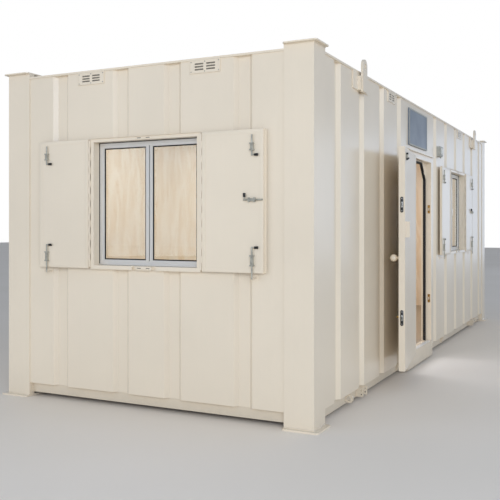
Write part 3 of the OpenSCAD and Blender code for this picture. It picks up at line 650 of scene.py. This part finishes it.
class CABIN_OT_shutters(bpy.types.Operator):
    """Add the folded rims and the riveted hinge strips of the shutters"""

    bl_idname = "cabin.shutters"
    bl_label = "Shutter rims and hinges"

    def execute(self, context):
        sizes = context.scene.cabin_fittings
        z0, z1 = LEAF_Z
        middle = (z0 + z1) / 2
        # The open leaf, drawn to the left of its hinge: its near edge is the hinge edge
        right = -LEAF_HINGE_X - LEAF_EDGE
        centre_x = right - SHUTTER_WIDTH / 2
        face = 2 * LEAF_HINGE_OUT - LEAF_IN
        for leaf, (_, mirrored) in LEAVES.items():
            place, body = leaf_place(leaf), leaf + "_leaf"
            rim = ring((centre_x, -face - 0.0013, middle), SHUTTER_WIDTH - 0.002,
                       z1 - z0 - 0.002, sizes.rim, 0.0012, 0.0004)
            settle(rim, leaf + "_shutter_rim", "walls", body, place, mirrored)
            # Strip and rivets stand 3.4 mm proud, which clears the box of the shut leaf
            strip = block((right - 0.016, -face - 0.00175, middle),
                          (0.026, 0.0011, z1 - z0 - 0.03), 0.0004)
            settle(strip, leaf + "_hinge_strip", "walls", body, place, mirrored)
            first = dome((right - 0.016, -face - 0.00285, z0 + 0.03), sizes.rivet, 0.0012)
            pitch = (z1 - z0 - 0.06) / (sizes.rivets - 1)
            heads = join(copies(first, [(0, 0, i * pitch) for i in range(1, sizes.rivets)]))
            settle(heads, leaf + "_hinge_rivets", "walls", body, place, mirrored)
        return {"FINISHED"}


class CABIN_OT_bolts(bpy.types.Operator):
    """Add the black grips, end collars and fixing screws of the shutter bolts"""

    bl_idname = "cabin.bolts"
    bl_label = "Shutter bolt grips"

    def execute(self, context):
        sizes = context.scene.cabin_fittings
        z0, z1 = LEAF_Z
        # Line of the bolts, and the outer ends of the upper and the lower one
        x = -2 * LEAF_HINGE_X + 0.0865
        out = 2 * LEAF_HINGE_OUT - 0.028
        upper, lower = z1 - 0.038, z0 - 0.042
        top = upper - 0.150 + 0.006
        bottom = lower + 0.230 - 0.006
        for leaf, (_, mirrored) in LEAVES.items():
            place, body = leaf_place(leaf), leaf + "_leaf"
            grips, collars = [], []
            # The handles of the leaf shut last turn the other way
            way = -1 if mirrored else 1
            for z in (top, bottom):
                grips.append(rod((x + way * 0.034, -out, z), sizes.grip, 0.030, "X", 0.004))
                collars.append(rod((x + way * 0.016, -out, z), 0.0065, 0.006, "X", 0.001))
            for z in (upper - 0.107, upper - 0.064, lower + 0.097, lower + 0.165):
                for step in (-0.011, 0.011):
                    collars.append(dome((x + step, -out - 0.009, z), sizes.screw, 0.003))
            if mirrored:
                # The bolt across the leaf shut last
                cross = z0 + (z1 - z0) * 0.51
                handle = -2 * LEAF_HINGE_X + 0.0025 + 0.144
                grips.append(rod((handle, -out, cross + 0.034), sizes.grip, 0.030, "Z", 0.004))
                collars.append(rod((handle, -out, cross + 0.016), 0.0065, 0.006, "Z", 0.001))
            settle(join(grips), leaf + "_bolt_grips", "nylon", body, place,
                   mirrored)
            settle(join(collars), leaf + "_bolt_collars", "bolt", body, place,
                   mirrored)
        return {"FINISHED"}


class CABIN_OT_door(bpy.types.Operator):
    """Add the door's edge folds, lock plates, key rose and bolt ends"""

    bl_idname = "cabin.door"
    bl_label = "Door fittings"

    def execute(self, context):
        place = door_place()
        low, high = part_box("door_leaf")[0].z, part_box("door_leaf")[1].z
        middle = (low + high) / 2
        outer = -0.035
        inner = LEAF_THICK + outer
        left, right = 0.005, 0.005 + LEAF_WIDTH
        folds = [ring(((left + right) / 2, y, middle), right - left - 0.003,
                      high - low - 0.003, 0.022, 0.0012, 0.0005)
                 for y in (outer - 0.0012, inner)]
        settle(join(folds), "door_edge_folds", "walls", "door", place)
        mid_leaf = (outer + inner) / 2
        beds, plates, faces, slots = [], [], [], []
        for z in LOCK_HEIGHTS:
            beds.append(block((right - 0.0016, mid_leaf, z), (0.0028, 0.0276, 0.1396), 0.0003))
            plates.append(round_ended(rod((right + 0.0006, mid_leaf, z), 0.0135, 0.0016, "X",
                                          0.0004), z, 0.054))
            faces.append(round_ended(rod((right + 0.0016, mid_leaf, z), 0.0075, 0.0010, "X",
                                         0.0003), z, 0.018))
            for step in (-0.052, 0.052):
                faces.append(dome((right + 0.0018, mid_leaf, z + step), 0.005, 0.0014, "X"))
            # A near-black strip on the latch face: painted shade standing in for the shade inside its
            # slot
            slots.append(block((right + 0.0022, mid_leaf, z), (0.0006, 0.005, 0.022), 0.0002))
        black_plates = settle(join(plates), "door_lock_plates", "black", "door",
                              place)
        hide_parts("door_locks")
        settle(join(beds), "door_lock_beds", "walls", "door", place)
        settle(join(faces), "door_latch_faces", "zinc", "door", place)
        settle(join(slots), "door_latch_slots", "shade", "door", place)
        rose_x, rose_z = right - 0.075, LOCK_HEIGHTS[0]
        rose = join([rod((rose_x, outer - 0.0035, rose_z), 0.0175, 0.007, "Y", 0.0015, 32),
                     rod((rose_x, outer - 0.009, rose_z), 0.009, 0.008, "Y", 0.002),
                     block((rose_x, outer - 0.018, rose_z), (0.003, 0.014, 0.016), 0.001)])
        settle(rose, "door_key_rose", "brass", "door", place)
        bolt_x, bolt_z = right - 0.070, high - 0.120
        ends = [rod((bolt_x, inner + 0.0115, bolt_z + sz), 0.0105, 0.018, "Z", 0.004)
                for sz in (0.016, 0.062)]
        ends.append(rod((bolt_x, inner + 0.024, bolt_z + 0.0213), 0.007, 0.010, "Y", 0.003))
        settle(join(ends), "door_bolt_ends", "nylon", "door", place)
        return {"FINISHED"}


def seal_strip():
    """Deep rubber strip inside the door stops, with its runs under the corner gussets."""
    inset, gusset, band = 0.022, 0.1618, 0.005
    floor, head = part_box("door_seal")[0].z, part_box("door_seal")[1].z - 0.014
    width = DOORWAY_WIDTH - 2 * inset
    pick_none()
    bpy.ops.mesh.primitive_plane_add(size=1, rotation=(math.radians(90), 0, 0),
                                     location=(DOORWAY_WIDTH / 2, 0.0225, (floor + head) / 2))
    piece = bpy.context.object
    piece.scale = (width, head - floor, 1)
    apply_place(piece)
    choose(piece, "vertices", lambda vertex: vertex.co.z > floor + 0.1)
    bpy.ops.mesh.bevel(offset=gusset, affect="VERTICES")
    bpy.ops.mesh.select_all(action="SELECT")
    bpy.ops.mesh.inset(thickness=band)
    bpy.ops.mesh.delete(type="FACE")
    choose(piece, "polygons", lambda face: face.center.z < floor + band)
    bpy.ops.mesh.delete(type="FACE")
    bpy.ops.mesh.select_all(action="SELECT")
    bpy.ops.mesh.extrude_region_move(TRANSFORM_OT_translate={"value": (0, 0.026, 0)})
    bpy.ops.mesh.select_all(action="SELECT")
    bpy.ops.mesh.normals_make_consistent(inside=False)
    bpy.ops.object.mode_set(mode="OBJECT")
    return round_edges(piece, 0.0015)


class CABIN_OT_doorway(bpy.types.Operator):
    """Add the tread strip, the keep lips and the deep rubber seal of the door frame"""

    bl_idname = "cabin.doorway"
    bl_label = "Doorway fittings"

    def execute(self, context):
        place = jamb_place()
        sill_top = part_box("door_sill")[1].z
        middle = DOORWAY_WIDTH / 2
        tread = block((middle, -0.010, sill_top + 0.0015), (DOORWAY_WIDTH - 0.010, 0.046, 0.003),
                      0.001)
        rib = block((middle, -0.028, sill_top + 0.0035), (DOORWAY_WIDTH - 0.014, 0.0025, 0.002),
                    0.0006)
        ribs = copies(rib, [(0, step, 0) for step in (0.009, 0.018, 0.027, 0.036)])
        settle(join([tread] + ribs), "door_tread_strip", "aluminium", "cabin",
               place)
        lips = []
        for z in LOCK_HEIGHTS:
            lips.append(ring((0, 0, 0), 0.020, 0.060, 0.004, 0.0015, 0.0004))
            lips[-1].matrix_world = (Matrix.Translation((DOORWAY_WIDTH - 0.0006, -0.009, z))
                                     @ Matrix.Rotation(math.radians(-90), 4, "Z"))
            apply_place(lips[-1])
            for step in (-0.036, 0.036):
                lips.append(dome((DOORWAY_WIDTH - 0.001, -0.009, z + step), 0.004, 0.0016, "X"))
        settle(join(lips), "door_keep_lips", "brass", "cabin", place)
        settle(seal_strip(), "door_seal_strip", "rubber", "cabin", place)
        return {"FINISHED"}


class CABIN_OT_vents(bpy.types.Operator):
    """Add the louvre bars, the screws of the wall vents, and near-black sheets of painted shade in
    their slots
    """

    bl_idname = "cabin.vents"
    bl_label = "Vent fittings"

    def execute(self, context):
        sizes = context.scene.cabin_fittings
        low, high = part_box("wall_vents")[0].z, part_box("wall_vents")[1].z
        middle = (low + high) / 2
        places = {
            "front_left": on_front(MIDDLE_X - END_VENT_OUT),
            "front_right": on_front(MIDDLE_X + END_VENT_OUT),
            "rear_left": on_rear(MIDDLE_X - END_VENT_OUT),
            "rear_right": on_rear(MIDDLE_X + END_VENT_OUT),
            "door_side_front": on_right(MIDDLE_Y - SIDE_VENT_OUT),
            "door_side_rear": on_right(MIDDLE_Y + SIDE_VENT_OUT),
            "plain_side_front": on_left(MIDDLE_Y - SIDE_VENT_OUT),
            "plain_side_rear": on_left(MIDDLE_Y + SIDE_VENT_OUT),
        }
        for name, place in places.items():
            lips, dark = [], []
            for side in (-1, 1):
                for step in (-1, 0, 1):
                    x, z = side * 0.0485, middle + step * 0.0206
                    lips.append(block((x, -0.0042, z), (0.0735, 0.0022, 0.0018), 0.0006))
                    dark.append(block((x, -0.0016, z), (0.073, 0.0012, 0.0105), 0.0003))
            heads = [dome((x, -0.0068, z), sizes.screw, 0.0022)
                     for x in (-0.115, 0, 0.115) for z in (middle - 0.036, middle + 0.036)]
            # The plate's turned edge
            edge = ring((0, -0.0078, middle), 0.2545, high - low - 0.001, 0.004, 0.002, 0.0006)
            settle(join(lips + [edge]), name + "_vent_louvres", "walls", "cabin",
                   place)
            # The near-black sheets behind the louvre bars are painted shade, standing in for the shade
            # inside the vent slots
            settle(join(dark), name + "_vent_mesh", "shade", "cabin", place)
            settle(join(heads), name + "_vent_screws", "zinc", "cabin", place)
        return {"FINISHED"}


class CABIN_OT_sign(bpy.types.Operator):
    """Add the edge frame and screws of the blank board over the door"""

    bl_idname = "cabin.sign"
    bl_label = "Sign frame"

    def execute(self, context):
        low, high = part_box("door_sign")
        place = on_right((low.y + high.y) / 2)
        width, height = high.y - low.y, high.z - low.z
        middle = (low.z + high.z) / 2
        edge = ring((0, -0.0165, middle), width, height, 0.014, 0.004, 0.001)
        settle(edge, "sign_edge", "plastic", "cabin", place)
        heads = [dome((sx * (width / 2 - 0.03), -0.0150, middle + sz * (height / 2 - 0.03)),
                      0.005, 0.0024) for sx in (-1, 1) for sz in (-1, 1)]
        settle(join(heads), "sign_screws", "zinc", "cabin", place)
        return {"FINISHED"}


class CABIN_OT_lamp(bpy.types.Operator):
    """Add the ribbed diffuser and the cable gland of the lamp housing"""

    bl_idname = "cabin.lamp"
    bl_label = "Lamp fittings"

    def execute(self, context):
        low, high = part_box("light_box")
        place = on_right((low.y + high.y) / 2)
        middle = (low.z + high.z) / 2
        cover = block((0, -0.0495, middle), (0.100, 0.004, 0.072), 0.0018)
        ribs = copies(block((-0.040, -0.052, middle), (0.003, 0.003, 0.066), 0.001),
                      [(0.010 * i, 0, 0) for i in range(1, 9)])
        settle(join([cover] + ribs), "lamp_diffuser", "opal", "cabin", place)
        gland = join([rod((0.045, -0.020, low.z - 0.008), 0.010, 0.018, "Z", 0.002),
                      rod((0.045, -0.020, low.z - 0.002), 0.014, 0.006, "Z", 0.001)])
        settle(gland, "lamp_gland", "plastic", "cabin", place)
        return {"FINISHED"}


class CABIN_OT_welds(bpy.types.Operator):
    """Add the weld beads of the post plates and the lug plates"""

    bl_idname = "cabin.welds"
    bl_label = "Weld beads"

    def execute(self, context):
        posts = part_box("corner_posts")
        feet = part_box("post_plates")
        beads = []
        for x, way_x in ((posts[0].x, -1), (posts[1].x, 1)):
            for y, way_y in ((posts[0].y, -1), (posts[1].y, 1)):
                for z, way in ((feet[0].z + 0.012, 1), (feet[1].z - 0.010, -1)):
                    beads.append(rod((x - way_x * 0.1125, y + way_y * 0.001, z + way * 0.002),
                                     0.0045, 0.225, "X", 0.002, 8))
                    beads.append(rod((x + way_x * 0.001, y - way_y * 0.1125, z + way * 0.002),
                                     0.0045, 0.225, "Y", 0.002, 8))
        settle(join(beads), "post_plate_welds", "walls", "cabin")
        beads = []
        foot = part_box("lifting_lugs")[0].z + 0.012
        for place in [on_wall(MIDDLE_Y + way * LUG_OUT) for on_wall in (on_right, on_left)
                      for way in (-1, 1)]:
            runs = [rod((0, -0.0045, z), 0.0028, 0.396, "X", 0.001, 8)
                    for z in (foot, LUG_PLATE_TOP)]
            runs += [rod((x, -0.0045, (foot + LUG_PLATE_TOP) / 2), 0.0028, 0.130, "Z", 0.001, 8)
                     for x in (-0.2, 0.2)]
            for bead in runs:
                bead.matrix_world = place
                beads.append(apply_place(bead))
        settle(join(beads), "lug_plate_welds", "walls", "cabin")
        return {"FINISHED"}


class CABIN_OT_capping(bpy.types.Operator):
    """Add the screws along the roof edge capping"""

    bl_idname = "cabin.capping"
    bl_label = "Capping screws"

    def execute(self, context):
        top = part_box("roof_edge_trim")[1].z
        walls = {"door_side": (on_right(MIDDLE_Y), 3.40), "plain_side": (on_left(MIDDLE_Y), 3.40),
                 "window_end": (on_front(MIDDLE_X), 1.12), "plain_end": (on_rear(MIDDLE_X), 1.12)}
        for name, (place, half) in walls.items():
            count = int(2 * half / 0.3)
            first = dome((-half, 0.020, top - 0.0006), 0.005, 0.0024)
            pick(first)
            first.matrix_world = (Matrix.Translation((-half, 0.020, top + 0.0006))
                                  @ Matrix.Rotation(math.radians(-90), 4, "X")
                                  @ Matrix.Translation((half, -0.020, -top + 0.0006)))
            apply_place(first)
            heads = copies(first, [(i * 2 * half / count, 0, 0) for i in range(1, count + 1)])
            settle(join(heads), name + "_capping_screws", "zinc", "cabin", place)
        return {"FINISHED"}


class CABIN_OT_stage(bpy.types.Operator):
    """Add the pale floor, the soft lights and the camera"""

    bl_idname = "cabin.stage"
    bl_label = "Studio"

    def execute(self, context):
        scene = context.scene
        stage = scene.cabin_stage
        pick_none()
        bpy.ops.mesh.primitive_plane_add(size=90, location=(-1.2, 3.5, 0))
        floor = bpy.context.object
        floor.name = "studio_floor"
        material, tree, shader, place = new_finish("pale_studio_floor", Roughness=0.7)
        drift = put(tree, "ShaderNodeTexNoise", {"Scale": 0.4}, {"Vector": (place, "Object")})
        tone = two_tones(tree, drift, linear("#F1E8DA"), linear("#F4EBDE"))
        tree.links.new(tone.outputs["Color"], shader.inputs["Base Color"])
        floor.data.materials.append(material)

        def lamp(name, where, target, size_x, size_y, power, tint="#FFFFFF"):
            light = bpy.data.lights.new(name, "AREA")
            light.shape, light.size, light.size_y = "RECTANGLE", size_x, size_y
            light.energy, light.color = power, linear(tint)[:3]
            holder = bpy.data.objects.new(name, light)
            scene.collection.objects.link(holder)
            holder.location = where
            holder.rotation_euler = (Vector(target) - Vector(where)).to_track_quat(
                "-Z", "Y").to_euler()
            return holder

        lamp("key_light", (5.2, -9.6, 3.8), (-0.8, 0.0, 1.2), 6.0, 5.0, stage.key, "#E6EFFF")
        fill = lamp("front_fill", (-8.0, -9.0, 3.2), (-1.2, 0.0, 1.2), 5.0, 5.0,
                    stage.key * 0.4, "#E6EFFF")
        fill.visible_glossy = False
        lamp("side_light", (11.0, 1.5, 4.5), (0.1, 3.5, 1.3), 9.0, 5.0, stage.side, "#DCEAFF")
        lamp("end_light", (5.8, 22.0, 2.4), (0.1, 3.0, 1.2), 8.0, 4.4, 120, "#DCEAFF")
        for y in (1.2, 3.3, 5.6):
            lamp("room_lamp", (-1.2, y, 2.52), (-1.2, y, 0.0), 1.6, 1.2, stage.room, "#EAF1FF")
        world = bpy.data.worlds.new("white_surroundings")
        world.use_nodes = True
        background = world.node_tree.nodes["Background"]
        tint = put(world.node_tree, "ShaderNodeMixRGB", {"Color1": linear("#E4EEFF"),
                                                         "Color2": linear("#FFFFFF")})
        seen = put(world.node_tree, "ShaderNodeLightPath")
        level = put(world.node_tree, "ShaderNodeMapRange", {"To Min": stage.sky, "To Max": 1.0},
                    {"Value": (seen, "Is Camera Ray")})
        for source, target in ((seen.outputs["Is Camera Ray"], tint.inputs["Fac"]),
                               (tint.outputs["Color"], background.inputs["Color"]),
                               (level.outputs["Result"], background.inputs["Strength"])):
            world.node_tree.links.new(source, target)
        scene.world = world
        scene.view_settings.view_transform = "Standard"

        camera = bpy.data.cameras.new("camera")
        camera.lens, camera.sensor_width = 55.82, 36
        camera.shift_x, camera.shift_y = 0.0516, -0.0476
        camera.clip_start, camera.clip_end = 0.1, 200
        holder = bpy.data.objects.new("camera", camera)
        scene.collection.objects.link(holder)
        holder.location = (1.9985, -5.1135, 1.418)
        holder.rotation_euler = (math.radians(90), 0, math.radians(27.27))
        scene.camera = holder
        return {"FINISHED"}


class CABIN_PT_panel(bpy.types.Panel):
    """Lists the steps that finish the cabin"""

    bl_label = "Site cabin"
    bl_idname = "CABIN_PT_panel"
    bl_space_type = "VIEW_3D"
    bl_region_type = "UI"
    bl_category = "Site cabin"

    def draw(self, context):
        for group in ("cabin_paint", "cabin_fittings", "cabin_stage"):
            box = self.layout.box()
            settings = getattr(context.scene, group)
            for name in settings.__annotations__:
                box.prop(settings, name)
        for step in STEPS:
            self.layout.operator(step.bl_idname)


STEPS = (CABIN_OT_finish, CABIN_OT_sashes, CABIN_OT_window_boxes, CABIN_OT_shutters,
         CABIN_OT_bolts, CABIN_OT_door, CABIN_OT_doorway, CABIN_OT_vents, CABIN_OT_sign,
         CABIN_OT_lamp, CABIN_OT_welds, CABIN_OT_capping, CABIN_OT_stage)
GROUPS = {"cabin_paint": CabinPaint, "cabin_fittings": CabinFittings, "cabin_stage": CabinStage}


def register():
    """Registers the settings, the steps and the panel."""
    for name, group in GROUPS.items():
        bpy.utils.register_class(group)
        setattr(bpy.types.Scene, name, PointerProperty(type=group))
    for step in STEPS:
        bpy.utils.register_class(step)
    bpy.utils.register_class(CABIN_PT_panel)


def unregister():
    """Removes what register added."""
    bpy.utils.unregister_class(CABIN_PT_panel)
    for step in reversed(STEPS):
        bpy.utils.unregister_class(step)
    for name, group in GROUPS.items():
        delattr(bpy.types.Scene, name)
        bpy.utils.unregister_class(group)


def main():
    """Registers the settings, the steps and the panel, then runs every step in order."""
    register()
    for step in STEPS:
        group, name = step.bl_idname.split(".")
        getattr(getattr(bpy.ops, group), name)()


if __name__ == "__main__":
    main()
